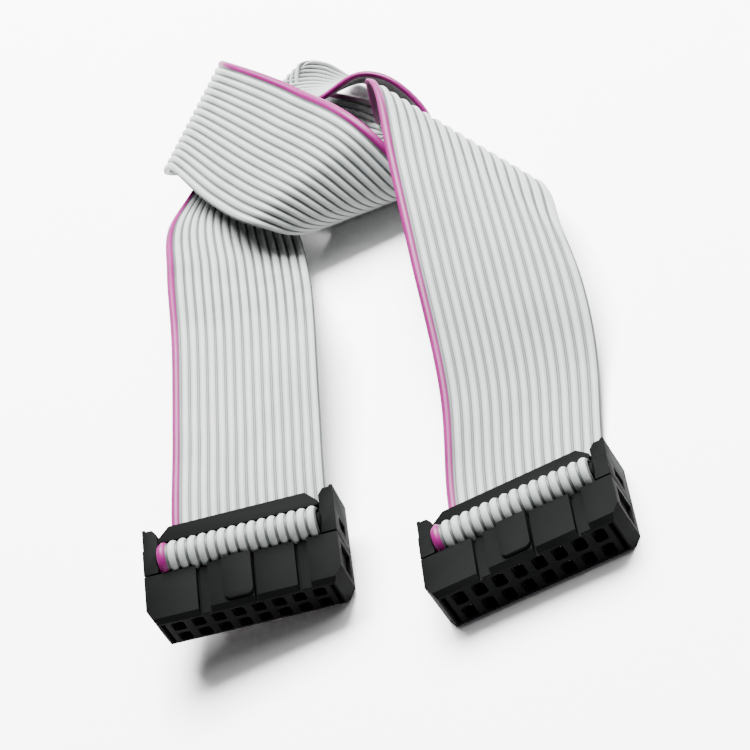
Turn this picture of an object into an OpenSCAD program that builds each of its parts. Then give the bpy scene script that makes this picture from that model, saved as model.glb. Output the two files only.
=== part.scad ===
// Flat ribbon cable with a two-row socket at each end, loosely knotted.
// Millimetres. +Z is up, the table is z = 0, +Y runs from the sockets to the knot.

/* [Cable] */
// distance between neighbouring conductors
pitch = 1.27; // [1.0:0.01:1.5]
// thickness of the strip over its ribs
thick = 0.9; // [0.7:0.05:1.1]

/* [Socket body] */
// length of the socket along its rows
body_len = 24.6; // [23:0.1:26]
// width of the socket across its rows
body_wid = 6.3; // [5.8:0.1:7]
// height of the housing from the mating face to the seam
body_high = 6.65; // [5.5:0.05:8]
// height from the mating face to the tips of the ears
ear_top = 13.55; // [12:0.05:15]
// bevel round the mating end
bevel = 0.6; // [0.2:0.1:1]
// inset of the tapered ends at the mating face
taper_u = 1.1; // [0.5:0.1:1.2]
// height of the tapered ends
taper_m = 1.9; // [1:0.1:3]

/* [Pin cavities] */
// distance between neighbouring cavities
grid = 2.54; // [2.5:0.01:2.6]
// side of the square mouth
mouth = 1.6; // [1.2:0.1:1.8]
// depth of the mouth
mouth_deep = 0.8; // [0.5:0.1:1.2]
// cavity width across the rows
cav_n = 1.9; // [1.6:0.1:2.1]
// cavity width along the rows
cav_u = 1.2; // [0.9:0.1:1.5]

/* [Contacts] */
// sheet thickness
leaf = 0.4; // [0.2:0.05:0.6]

/* [Hidden] */
$fn = 32;
count = 16;
strip = count * pitch;
hl = body_len / 2;
hn = body_wid / 2;

// pose of each socket: middle of the mating face, then yaw, pitch and roll
left_at = [-35.2, 11.3, 5.5];
left_turn = [-6, 15, 12];
right_at = [0, 0, hn];
right_turn = [0, 0, 0];

// shift from the middle of the right socket's mating face to the origin
home = [16.6, -65.1, 0];

// strip layers inside a socket
low_m = body_high + thick / 2;
up_m = low_m + 3.5;
bend_r = (up_m - low_m) / 2;
bend_n = 2.4;
exit_n = -2.7;
turn_r = 1;

// path of the strip inside a socket, as [m, n], from its cut end to its exit
wrap = concat(
  [[low_m, -3], [low_m, bend_n]],
  [for (a = [30:30:150]) [low_m + bend_r * (1 - cos(a)), bend_n + bend_r * sin(a)]],
  [[up_m, bend_n], [up_m, exit_n + turn_r]],
  [for (a = [30:30:60]) [up_m + turn_r * (1 - cos(a)), exit_n + turn_r * (1 - sin(a))]],
  [[up_m + turn_r, exit_n], [14, exit_n]]);

function rx(a, p) = [p[0], p[1] * cos(a) - p[2] * sin(a), p[1] * sin(a) + p[2] * cos(a)];
function ry(a, p) = [p[0] * cos(a) + p[2] * sin(a), p[1], -p[0] * sin(a) + p[2] * cos(a)];
function rz(a, p) = [p[0] * cos(a) - p[1] * sin(a), p[0] * sin(a) + p[1] * cos(a), p[2]];
function put(at, turn, p) = at + rz(turn[0], rx(turn[1], ry(turn[2], p)));

// route of the strip between the sockets: each line gives the first
// conductor's edge and the opposite edge, joined by a straight ruling
knot = [
  // left leg
  [[-42.8, 43, 10.5], [-22.8, 42, 7]],
  [[-42, 62, 11.5], [-21.8, 60.5, 8]],
  [[-42.8, 80, 11], [-24.5, 79.5, 3]],
  [[-43.5, 94, 9], [-25, 95, 4.6]],
  // first roll
  [[-41.8, 104.5, 6], [-21.5, 107, 4.5]],
  [[-39, 107.5, 6.5], [-21.5, 115.5, 5.5]],
  [[-35.5, 108, 9], [-20, 121, 8]],
  [[-26, 107, 9.5], [-17, 124, 5]],
  // arch
  [[-16.6, 106, 10], [-14.5, 123, 0.8]],
  [[-9, 103.5, 12.2], [-12.2, 120, 0.8]],
  [[-4.6, 100, 11], [-10.2, 116, 0.8]],
  [[-1.8, 95.5, 6.5], [-9.3, 112, 0.8]],
  [[-2.5, 91.5, 2.5], [-14, 106.5, 1]],
  // lower run and front roll
  [[-5, 88.5, 1.2], [-18.5, 98.5, 1]],
  [[-5, 86, 1.2], [-20.5, 89.5, 1.4]],
  [[-4.7, 80.5, 6.5], [-25, 81.8, 6.6]],
  [[-7.2, 84.8, 12.8], [-28.3, 82.3, 9.5]],
  // wide band
  [[-18, 104.5, 14.3], [-35.5, 92.5, 10.5]],
  // left roll
  [[-30, 123.5, 13.5], [-42.5, 107.5, 10.3]],
  [[-31.5, 129.5, 10], [-45, 112.8, 6.5]],
  [[-27, 129, 4.5], [-42, 115.5, 2.2]],
  // lower run under the left leg
  [[-21.5, 124, 2.3], [-36, 110, 1.2]],
  [[-15.5, 118.5, 1.2], [-30, 103.5, 1.2]],
  [[-8.5, 104.5, 4.5], [-18, 89.5, 3.8]],
  [[-9.5, 100, 5.8], [-4.5, 84, 4.8]],
  // crest roll
  [[-9, 98.8, 8.5], [7, 73.5, 2.3]],
  [[-7.2, 97, 14.2], [12, 67.5, 4.8]],
  [[-5.3, 89.5, 16.2], [13.8, 53.5, 7]],
  // right leg
  [[-5.3, 77, 15.5], [14.3, 47.5, 6.2]],
  [[-5.8, 57, 11.5], [14.2, 40, 4.5]],
  [[-7.1, 35, 5], [12.9, 31, 2]],
  [[-9.7, 21, 1.3], [11, 20, 0.8]]];

function inside(at, turn) =
  [for (q = wrap) [put(at, turn, [-strip / 2, q[0], q[1]]), put(at, turn, [strip / 2, q[0], q[1]])]];
function back_to_front(v) = [for (i = [len(v) - 1:-1:0]) v[i]];

route = concat(inside(left_at, left_turn), knot, back_to_front(inside(right_at, right_turn)));
last = len(route) - 1;

function gap(i) = max(0.3, (norm(route[i + 1][0] - route[i][0]) + norm(route[i + 1][1] - route[i][1])) / 2);
function rate(i, e) = (route[i + 1][e] - route[i][e]) / gap(i);
function slope(i, e) = i == 0 ? rate(0, e) : i == last ? rate(last - 1, e) :
  (rate(i - 1, e) * gap(i) + rate(i, e) * gap(i - 1)) / (gap(i - 1) + gap(i));
function between(i, t, e) =
  (2 * t * t * t - 3 * t * t + 1) * route[i][e] + (t * t * t - 2 * t * t + t) * gap(i) * slope(i, e)
  + (3 * t * t - 2 * t * t * t) * route[i + 1][e] + (t * t * t - t * t) * gap(i) * slope(i + 1, e);
function steps(i) = gap(i) > 5.5 ? 2 : 1;

rings = concat(
  [for (i = [0:last - 1]) for (j = [0:steps(i) - 1]) [between(i, j / steps(i), 0), between(i, j / steps(i), 1)]],
  [route[last]]);
n_ring = len(rings);

// section of six points above and six below
across = 6;
function on(i, f) = rings[i][0] + f * (rings[i][1] - rings[i][0]);
function out(i, f) =
  let (a = max(0, i - 1), b = min(n_ring - 1, i + 1),
       c = cross(on(b, f) - on(a, f), rings[i][1] - rings[i][0])) c / norm(c);
function section(i) = concat(
  [for (k = [0:across - 1]) on(i, k / (across - 1)) + out(i, k / (across - 1)) * thick / 2],
  [for (k = [across - 1:-1:0]) on(i, k / (across - 1)) - out(i, k / (across - 1)) * thick / 2]);
side = 2 * across;
skin = concat(
  [for (i = [0:n_ring - 2]) for (k = [0:side - 1]) [i * side + k, i * side + (k + 1) % side, (i + 1) * side + (k + 1) % side]],
  [for (i = [0:n_ring - 2]) for (k = [0:side - 1]) [i * side + k, (i + 1) * side + (k + 1) % side, (i + 1) * side + k]],
  [for (k = [0:across - 2]) [k, side - 2 - k, k + 1]],
  [for (k = [0:across - 2]) [k, side - 1 - k, side - 2 - k]],
  [for (k = [0:across - 2]) let (o = (n_ring - 1) * side) [o + k, o + k + 1, o + side - 2 - k]],
  [for (k = [0:across - 2]) let (o = (n_ring - 1) * side) [o + k, o + side - 2 - k, o + side - 1 - k]]);

contact_names = [for (s = ["left", "right"]) for (k = [1:count]) str(s, "_contact_", k)];

module at_left() {
  translate(home + left_at) rotate([0, 0, left_turn[0]]) rotate([left_turn[1], 0, 0]) rotate([0, left_turn[2], 0]) children();
}

module at_right() {
  translate(home + right_at) children();
}

// profile drawn in [u, m], extruded along n from a to b
module over_n(a, b) {
  translate([0, 0, a]) linear_extrude(b - a) children();
}

// profile drawn in [m, n], extruded along u from a to b
module over_u(a, b) {
  translate([a, 0, 0]) rotate([90, 0, 90]) linear_extrude(b - a) children();
}

function cavity(k) = [(floor((k - 1) / 2) - 3.5) * grid, (k % 2 == 1 ? 0.5 : -0.5) * grid];

module housing_solid() {
  difference() {
    union() {
      intersection() {
        over_n(-hn, hn) polygon([[-hl, taper_m], [-hl + taper_u, 0], [hl - taper_u, 0], [hl, taper_m], [hl, body_high], [-hl, body_high]]);
        over_u(-hl, hl) polygon([[0, -hn + bevel], [bevel, -hn], [body_high, -hn], [body_high, hn], [bevel, hn], [0, hn - bevel]]);
      }
      // polarising key with rounded lower corners
      over_n(hn - 1, hn + 0.45) union() {
        translate([-2.3, 1.7]) square([3.7, body_high - 1.7]);
        translate([-1.5, 0.9]) square([2.1, 1]);
        translate([-1.5, 1.7]) circle(0.8);
        translate([0.6, 1.7]) circle(0.8);
      }
    }
    // cavities
    for (k = [1:count]) {
      translate([cavity(k)[0] - mouth / 2, -1, cavity(k)[1] - mouth / 2]) cube([mouth, mouth_deep + 1, mouth]);
      translate([cavity(k)[0] - cav_u / 2, 0, cavity(k)[1] - cav_n / 2]) cube([cav_u, body_high + 1, cav_n]);
    }
    // channels in the keyed face
    translate([-5.7, -1, hn - 0.5]) cube([1.5, body_high + 2, 2]);
    translate([6.8, -1, hn - 0.5]) cube([1.6, body_high + 2, 2]);
    // narrow deep slots beside the channels and the key
    for (u = [-5.7, 1.4, 6.8]) translate([u, -1, hn - 0.75]) cube([0.35, body_high + 2, 2]);
    // shallow pockets in the end faces, with a slot below each
    for (s = [-1, 1]) {
      translate([s * hl - 0.5, 2.5, -2]) cube([1, 3.3, 4]);
      translate([s * 10.65 - 0.3, -1, -2.3]) cube([0.6, 3, 4.6]);
    }
  }
}

module ear() {
  difference() {
    over_n(-hn, hn) polygon([[10.4, body_high], [hl, body_high], [hl, ear_top], [hl - 0.4, ear_top], [hl - 0.5, ear_top - 0.25], [11, ear_top - 0.25], [10.4, ear_top - 1.1]]);
    // upper half set back on the keyed side
    translate([10, 10.4, hn - 0.3]) cube([3, 4, 1]);
    // notch for the clip
    translate([10, 11.6, -1]) cube([1.3, 1, 2]);
    // latch window outside
    translate([hl - 0.4, 8.2, -1.3]) cube([1, 1.5, 2.6]);
  }
}

module cover_solid() {
  union() {
    over_u(-10.5, 10.5) union() {
      translate([low_m + thick / 2, -2.9]) square([2 * bend_r - thick, 2.9 + bend_n]);
      translate([low_m + bend_r, bend_n]) circle(bend_r - thick / 2 - 0.05);
    }
    ear();
    mirror([1, 0, 0]) ear();
  }
}

module clip_solid() {
  difference() {
    union() {
      over_n(-1.5, 3) polygon([[-10.3, up_m + thick / 2], [10.3, up_m + thick / 2], [10.3, 11.7], [8.8, 13.2], [-8.8, 13.2], [-10.3, 11.7]]);
      translate([-11.2, 11.6, -0.9]) cube([22.4, 1, 1.8]);
    }
    // clearance over the strip's turn
    translate([-11, up_m + thick / 2 - 1, -2.1]) cube([22, 1.5, 1.2]);
  }
}

// stamped fork: two spring leaves below, a slot for one conductor above
module contact_solid(k) {
  translate([cavity(k)[0], 0, cavity(k)[1]]) over_u(-leaf / 2, leaf / 2) difference() {
    union() {
      translate([3.6, -cav_n / 2]) square([1.6, cav_n]);
      translate([1.8, -0.8]) square([body_high - 1.8, 1.6]);
    }
    translate([1, -0.35]) square([2.2, 0.7]);
    translate([5.4, -0.15]) square([2, 0.3]);
  }
}

module left_housing() { color([0.07, 0.07, 0.08]) at_left() housing_solid(); }
module left_cover() { color([0.07, 0.07, 0.08]) at_left() cover_solid(); }
module left_strain_relief() { color([0.08, 0.08, 0.09]) at_left() clip_solid(); }
module right_housing() { color([0.07, 0.07, 0.08]) at_right() housing_solid(); }
module right_cover() { color([0.07, 0.07, 0.08]) at_right() cover_solid(); }
module right_strain_relief() { color([0.08, 0.08, 0.09]) at_right() clip_solid(); }
module left_contact(k) { color([0.8, 0.66, 0.32]) at_left() contact_solid(k); }
module right_contact(k) { color([0.8, 0.66, 0.32]) at_right() contact_solid(k); }

module ribbon() {
  color([0.8, 0.8, 0.8]) translate(home)
    polyhedron(points = [for (i = [0:n_ring - 1]) for (p = section(i)) p], faces = skin, convexity = 10);
}

left_housing();
left_cover();
left_strain_relief();
right_housing();
right_cover();
right_strain_relief();
ribbon();
for (k = [1:count]) left_contact(k);
for (k = [1:count]) right_contact(k);
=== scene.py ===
"""Ribbon cable with two sockets, loosely knotted, on a white table."""
import math
import bpy
import bmesh
import numpy as np
from mathutils import Matrix, Vector


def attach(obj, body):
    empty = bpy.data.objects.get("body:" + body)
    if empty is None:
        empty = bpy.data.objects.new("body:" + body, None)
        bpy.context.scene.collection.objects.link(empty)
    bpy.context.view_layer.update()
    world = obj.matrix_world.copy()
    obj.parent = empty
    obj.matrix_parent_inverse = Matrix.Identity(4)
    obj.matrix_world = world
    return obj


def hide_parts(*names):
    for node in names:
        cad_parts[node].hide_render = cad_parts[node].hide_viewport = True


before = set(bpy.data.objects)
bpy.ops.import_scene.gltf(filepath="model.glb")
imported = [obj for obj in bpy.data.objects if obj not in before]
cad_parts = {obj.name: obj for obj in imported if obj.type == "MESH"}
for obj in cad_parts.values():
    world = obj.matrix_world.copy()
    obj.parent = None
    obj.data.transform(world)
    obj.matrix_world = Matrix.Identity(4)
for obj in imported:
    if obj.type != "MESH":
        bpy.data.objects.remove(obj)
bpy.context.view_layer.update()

MM = 0.001
HOME = np.array([16.6, -65.1, 0.0])


# ---------------------------------------------------------------- camera
cam_data = bpy.data.cameras.new("camera")
cam_data.sensor_fit = "HORIZONTAL"
cam_data.sensor_width = 36.0
cam_data.lens = 115.2
cam_data.clip_start = 0.01
cam = bpy.data.objects.new("camera", cam_data)
bpy.context.scene.collection.objects.link(cam)
right = Vector((0.87548, -0.08082, -0.47646))
up = Vector((0.41823, 0.62069, 0.66320))
back = Vector((0.24213, -0.77988, 0.57720))
place = (np.array([59.635, -197.182, 184.165]) + HOME) * MM
cam.matrix_world = Matrix((
    (right.x, up.x, back.x, place[0]),
    (right.y, up.y, back.y, place[1]),
    (right.z, up.z, back.z, place[2]),
    (0, 0, 0, 1)))
bpy.context.scene.camera = cam


# ---------------------------------------------------------------- materials
def new_material(name):
    m = bpy.data.materials.new(name)
    m.use_nodes = True
    t = m.node_tree
    return m, t, t.nodes["Principled BSDF"]


def mottled(name, dark, light, scale, rough, bump=0.0, bump_scale=900.0, rough_spread=0.0, detail=3.0):
    """A principled material whose colour wanders between two tones, with a fine grain."""
    m, t, b = new_material(name)
    co = t.nodes.new("ShaderNodeTexCoord")
    n = t.nodes.new("ShaderNodeTexNoise")
    n.inputs["Scale"].default_value = scale
    n.inputs["Detail"].default_value = detail
    t.links.new(co.outputs["Object"], n.inputs["Vector"])
    r = t.nodes.new("ShaderNodeValToRGB")
    r.color_ramp.elements[0].position = 0.3
    r.color_ramp.elements[1].position = 0.7
    r.color_ramp.elements[0].color = (*dark, 1)
    r.color_ramp.elements[1].color = (*light, 1)
    t.links.new(n.outputs["Fac"], r.inputs["Fac"])
    t.links.new(r.outputs["Color"], b.inputs["Base Color"])
    b.inputs["Roughness"].default_value = rough
    if rough_spread:
        mr = t.nodes.new("ShaderNodeMapRange")
        mr.inputs["To Min"].default_value = rough - rough_spread
        mr.inputs["To Max"].default_value = rough + rough_spread
        t.links.new(n.outputs["Fac"], mr.inputs["Value"])
        t.links.new(mr.outputs["Result"], b.inputs["Roughness"])
    if bump:
        g = t.nodes.new("ShaderNodeTexNoise")
        g.inputs["Scale"].default_value = bump_scale
        g.inputs["Detail"].default_value = 2.0
        t.links.new(co.outputs["Object"], g.inputs["Vector"])
        u = t.nodes.new("ShaderNodeBump")
        u.inputs["Strength"].default_value = bump
        u.inputs["Distance"].default_value = 0.0001
        t.links.new(g.outputs["Fac"], u.inputs["Height"])
        t.links.new(u.outputs["Normal"], b.inputs["Normal"])
    return m, b


grey_pvc, b = mottled("grey_pvc", (0.220, 0.234, 0.231), (0.258, 0.271, 0.265), 160.0, 0.48, bump=0.1, rough_spread=0.06)
b.inputs["Specular IOR Level"].default_value = 0.18
# painted shade: the facets in the grooves between the ribs get this much darker grey to stand in for the shade there;
# the web itself is the same grey PVC as the ribs
groove_shade_pvc, b = mottled("groove_shade_pvc", (0.034, 0.038, 0.039), (0.050, 0.055, 0.055), 160.0, 0.5, bump=0.1, rough_spread=0.06)
b.inputs["Specular IOR Level"].default_value = 0.3
pink_pvc, b = mottled("pink_pvc", (0.105, 0.0008, 0.06), (0.135, 0.0015, 0.08), 160.0, 0.45, bump=0.1, rough_spread=0.06)
b.inputs["Specular IOR Level"].default_value = 0.18
black_plastic, b = mottled("black_plastic", (0.0023, 0.0025, 0.0025), (0.0034, 0.0036, 0.0036), 240.0, 0.62, bump=0.2, bump_scale=2600.0, rough_spread=0.07)
b.inputs["Specular IOR Level"].default_value = 0.012
contact_metal, b = mottled("contact_metal", (0.68, 0.50, 0.18), (0.82, 0.64, 0.28), 700.0, 0.28, rough_spread=0.06)
b.inputs["Metallic"].default_value = 1.0
copper, b = mottled("copper", (0.70, 0.32, 0.18), (0.85, 0.45, 0.28), 2500.0, 0.35, rough_spread=0.08)
b.inputs["Metallic"].default_value = 1.0
table_white, b = mottled("table_white", (0.93, 0.93, 0.93), (0.95, 0.95, 0.95), 12.0, 0.75)


# ---------------------------------------------------------------- route of the strip
PITCH = 1.27
COUNT = 16
STRIP = PITCH * COUNT
LEFT_AT, LEFT_TURN = np.array([-35.2, 11.3, 5.5]), (-6, 15, 12)
RIGHT_AT, RIGHT_TURN = np.array([0, 0, 3.15]), (0, 0, 0)


def turn(yaw, pitch, roll):
    y, p, r = (math.radians(a) for a in (yaw, pitch, roll))
    rz = np.array([[math.cos(y), -math.sin(y), 0], [math.sin(y), math.cos(y), 0], [0, 0, 1]])
    rx = np.array([[1, 0, 0], [0, math.cos(p), -math.sin(p)], [0, math.sin(p), math.cos(p)]])
    ry = np.array([[math.cos(r), 0, math.sin(r)], [0, 1, 0], [-math.sin(r), 0, math.cos(r)]])
    return rz @ rx @ ry


SOCKETS = {"left": (LEFT_AT, turn(*LEFT_TURN)), "right": (RIGHT_AT, turn(*RIGHT_TURN))}


def put(socket, u, m, n):
    at, r = SOCKETS[socket]
    return at + r @ np.array([u, m, n], float)


def wrap():
    """Middle of the strip inside a socket, as (m, n), from its cut end to its exit."""
    lo, hi, r, bn, en, tr = 7.1, 10.6, 1.75, 2.4, -2.7, 1.0
    p = [(lo, n) for n in (-3.0, -1.8, -0.6, 0.6, 1.6)]
    p += [(lo + r * (1 - math.cos(math.radians(a))), bn + r * math.sin(math.radians(a))) for a in range(0, 181, 12)]
    p += [(hi, n) for n in (1.4, 0.2, -1.0)]
    p += [(hi + tr * (1 - math.cos(math.radians(a))), en + tr * (1 - math.sin(math.radians(a)))) for a in range(0, 91, 15)]
    p += [(12.4, en), (13.2, en), (14.0, en)]
    return p


KNOT = [
    # left leg
    ((-42.8, 43, 10.5), (-22.8, 42, 7)),
    ((-42, 62, 11.5), (-21.8, 60.5, 8)),
    ((-42.8, 80, 11), (-24.5, 79.5, 3)),
    ((-43.5, 94, 9), (-25, 95, 4.6)),
    # first roll
    ((-41.8, 104.5, 6), (-21.5, 107, 4.5)),
    ((-39, 107.5, 6.5), (-21.5, 115.5, 5.5)),
    ((-35.5, 108, 9), (-20, 121, 8)),
    ((-26, 107, 9.5), (-17, 124, 5)),
    # arch
    ((-16.6, 106, 10), (-14.5, 123, 0.8)),
    ((-9, 103.5, 12.2), (-12.2, 120, 0.8)),
    ((-4.6, 100, 11), (-10.2, 116, 0.8)),
    ((-1.8, 95.5, 6.5), (-9.3, 112, 0.8)),
    ((-2.5, 91.5, 2.5), (-14, 106.5, 1)),
    # lower run and front roll
    ((-5, 88.5, 1.2), (-18.5, 98.5, 1)),
    ((-5, 86, 1.2), (-20.5, 89.5, 1.4)),
    ((-4.7, 80.5, 6.5), (-25, 81.8, 6.6)),
    ((-7.2, 84.8, 12.8), (-28.3, 82.3, 9.5)),
    # wide band
    ((-18, 104.5, 14.3), (-35.5, 92.5, 10.5)),
    # left roll
    ((-30, 123.5, 13.5), (-42.5, 107.5, 10.3)),
    ((-31.5, 129.5, 10), (-45, 112.8, 6.5)),
    ((-27, 129, 4.5), (-42, 115.5, 2.2)),
    # lower run under the left leg
    ((-21.5, 124, 2.3), (-36, 110, 1.2)),
    ((-15.5, 118.5, 1.2), (-30, 103.5, 1.2)),
    ((-8.5, 104.5, 4.5), (-18, 89.5, 3.8)),
    ((-9.5, 100, 5.8), (-4.5, 84, 4.8)),
    # crest roll
    ((-9, 98.8, 8.5), (7, 73.5, 2.3)),
    ((-7.2, 97, 14.2), (12, 67.5, 4.8)),
    ((-5.3, 89.5, 16.2), (13.8, 53.5, 7)),
    # right leg
    ((-5.3, 77, 15.5), (14.3, 47.5, 6.2)),
    ((-5.8, 57, 11.5), (14.2, 40, 4.5)),
    ((-7.1, 35, 5), (12.9, 31, 2)),
    ((-9.7, 21, 1.3), (11, 20, 0.8)),
]


def inside(socket):
    return [np.r_[put(socket, -STRIP / 2, m, n), put(socket, STRIP / 2, m, n)] for m, n in wrap()]


def smooth(points, step):
    """Rings along the route: both edges follow one smooth curve each."""
    p = np.array(points, float)
    h = np.maximum((np.linalg.norm(np.diff(p[:, :3], axis=0), axis=1) + np.linalg.norm(np.diff(p[:, 3:], axis=0), axis=1)) / 2, 0.3)
    rate = np.diff(p, axis=0) / h[:, None]
    s = np.zeros_like(p)
    s[0], s[-1] = rate[0], rate[-1]
    s[1:-1] = (rate[:-1] * h[1:, None] + rate[1:] * h[:-1, None]) / (h[:-1] + h[1:])[:, None]
    out = []
    for i in range(len(p) - 1):
        n = max(1, int(round(h[i] / step)))
        for j in range(n):
            t = j / n
            out.append((2 * t**3 - 3 * t**2 + 1) * p[i] + (t**3 - 2 * t**2 + t) * h[i] * s[i]
                       + (3 * t**2 - 2 * t**3) * p[i + 1] + (t**3 - t**2) * h[i] * s[i + 1])
    out.append(p[-1])
    return np.array(out)


route = inside("left") + [np.r_[np.array(a, float), np.array(c, float)] for a, c in KNOT] + inside("right")[::-1]
rings = smooth(route, 1.0)
P, G = rings[:, :3], rings[:, 3:]

# section: for each rib, places across it and half thickness there
ACROSS = (-0.5, -0.345, -0.23, -0.085, 0.085, 0.23, 0.345)
spots, half = [], []
for k in range(COUNT):
    for x in ACROSS:
        spots.append((k + 0.5 + x) / COUNT)
        half.append(0.11 + 0.34 * math.cos(math.pi * x) ** 1.2 if abs(x) < 0.5 else 0.11)
spots.append(1.0)
half.append(0.11)
spots, half = np.array(spots), np.array(half)

mid = P[:, None] + spots[None, :, None] * (G - P)[:, None]
along = np.gradient(mid, axis=0)
normal = np.cross(along, (G - P)[:, None])
normal /= np.maximum(np.linalg.norm(normal, axis=2, keepdims=True), 1e-9)
for _ in range(2):
    q = normal.copy()
    q[1:-1] = normal[:-2] + 2 * normal[1:-1] + normal[2:]
    normal = q / np.maximum(np.linalg.norm(q, axis=2, keepdims=True), 1e-9)
top = mid + normal * half[None, :, None]
low = mid - normal * half[None, :, None]
n_ring, n_spot = len(rings), len(spots)
verts = np.concatenate([top, low[:, ::-1]], axis=1)
side = 2 * n_spot
flat = ((verts.reshape(-1, 3) + HOME) * MM)
flat[:, 2] = np.maximum(flat[:, 2], 0.00002)
faces, tint = [], []
for i in range(n_ring - 1):
    for k in range(side):
        a, c = i * side + k, i * side + (k + 1) % side
        faces.append((a, c, c + side, a + side))
        s = k if k < n_spot else side - 2 - k
        # material 1 is the pink edge rib, 2 is the painted groove shade on the facets between the ribs, 0 is the
        # plain grey
        tint.append(1 if s < 6 or k == side - 1 else (2 if s % 7 in (0, 6) else 0))
for o, flip in ((0, False), ((n_ring - 1) * side, True)):
    for k in range(n_spot - 1):
        f = (o + k, o + side - 1 - k, o + side - 2 - k, o + k + 1)
        faces.append(f if not flip else f[::-1])
        tint.append(1 if k < 4 else 0)
mesh = bpy.data.meshes.new("ribbon_strip")
mesh.from_pydata([tuple(v) for v in flat], [], faces)
mesh.materials.append(grey_pvc)
mesh.materials.append(pink_pvc)
mesh.materials.append(groove_shade_pvc)
mesh.polygons.foreach_set("material_index", tint)
mesh.polygons.foreach_set("use_smooth", [True] * len(faces))
mesh.update()
bm = bmesh.new()
bm.from_mesh(mesh)
bmesh.ops.recalc_face_normals(bm, faces=bm.faces)
bm.to_mesh(mesh)
bm.free()
strip = bpy.data.objects.new("ribbon_strip", mesh)
bpy.context.scene.collection.objects.link(strip)
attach(strip, "root")
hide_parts("ribbon")


# ---------------------------------------------------------------- copper at the cut ends
bm = bmesh.new()
for socket in ("left", "right"):
    at, r = SOCKETS[socket]
    for k in range(COUNT):
        u = (k - 7.5) * PITCH
        for j in range(7):
            a = math.radians(60 * j)
            d = 0.0 if j == 6 else 0.13
            c = (put(socket, u + d * math.cos(a), 7.1 + d * math.sin(a), -3.0) + HOME) * MM
            m = Matrix.Translation(Vector(c)) @ Matrix(r.tolist()).to_4x4()
            bmesh.ops.create_cone(bm, cap_ends=True, segments=8, radius1=0.063 * MM, radius2=0.063 * MM, depth=0.06 * MM, matrix=m)
mesh = bpy.data.meshes.new("conductor_ends")
bm.to_mesh(mesh)
bm.free()
mesh.materials.append(copper)
ends = bpy.data.objects.new("conductor_ends", mesh)
bpy.context.scene.collection.objects.link(ends)
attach(ends, "root")


# ---------------------------------------------------------------- sockets
# gap under the ears
SEAM = 0.26


def softened(node, width):
    """The CAD node's own shape with its edges slightly rounded, as a moulding has them."""
    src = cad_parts[node]
    me = src.data.copy()
    me.name = node + "_moulded"
    bm = bmesh.new()
    bm.from_mesh(me)
    bmesh.ops.remove_doubles(bm, verts=bm.verts, dist=0.000002)
    bmesh.ops.dissolve_limit(bm, angle_limit=math.radians(1.0), verts=bm.verts, edges=bm.edges)
    side, kind = node.split("_", 1)
    at, r = SOCKETS[side]
    for v in bm.verts:
        m = r[:, 1] @ (np.array(v.co) / MM - HOME - at)
        if kind == "cover" and m < 6.7:
            v.co += Vector(r[:, 1] * SEAM * MM)
    bm.to_mesh(me)
    bm.free()
    me.materials.clear()
    me.materials.append(black_plastic)
    for p in me.polygons:
        p.material_index = 0
        p.use_smooth = True
    o = bpy.data.objects.new(node + "_moulded", me)
    bpy.context.scene.collection.objects.link(o)
    mod = o.modifiers.new("edges", "BEVEL")
    mod.width = width
    mod.segments = 2
    mod.limit_method = "ANGLE"
    mod.angle_limit = math.radians(25)
    mod.use_clamp_overlap = True
    mod.harden_normals = True
    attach(o, "root")
    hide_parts(node)
    return o


for s in ("left", "right"):
    softened(s + "_housing", 0.00013)
    softened(s + "_cover", 0.00013)
    softened(s + "_strain_relief", 0.00012)
    for k in range(1, 17):
        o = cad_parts["%s_contact_%d" % (s, k)]
        o.data.materials.clear()
        o.data.materials.append(contact_metal)


# ---------------------------------------------------------------- table and light
bm = bmesh.new()
bmesh.ops.create_grid(bm, x_segments=1, y_segments=1, size=3.0)
mesh = bpy.data.meshes.new("table")
bm.to_mesh(mesh)
bm.free()
mesh.materials.append(table_white)
table = bpy.data.objects.new("table", mesh)
bpy.context.scene.collection.objects.link(table)

world = bpy.data.worlds.new("studio")
bpy.context.scene.world = world
world.use_nodes = True
world.node_tree.nodes["Background"].inputs["Color"].default_value = (1, 1, 1, 1)
world.node_tree.nodes["Background"].inputs["Strength"].default_value = 0.16


def area(name, where, aim, size, power):
    d = bpy.data.lights.new(name, "AREA")
    d.shape = "SQUARE"
    d.size = size
    d.energy = power
    o = bpy.data.objects.new(name, d)
    bpy.context.scene.collection.objects.link(o)
    o.location = where
    o.rotation_euler = (Vector(aim) - Vector(where)).to_track_quat("-Z", "Y").to_euler()
    return o


area("key", (0.07, 0.41, 0.68), (0, 0, 0), 0.6, 74.0)
area("fill", (0.40, 0.10, 0.64), (0, 0, 0), 0.6, 5.0)
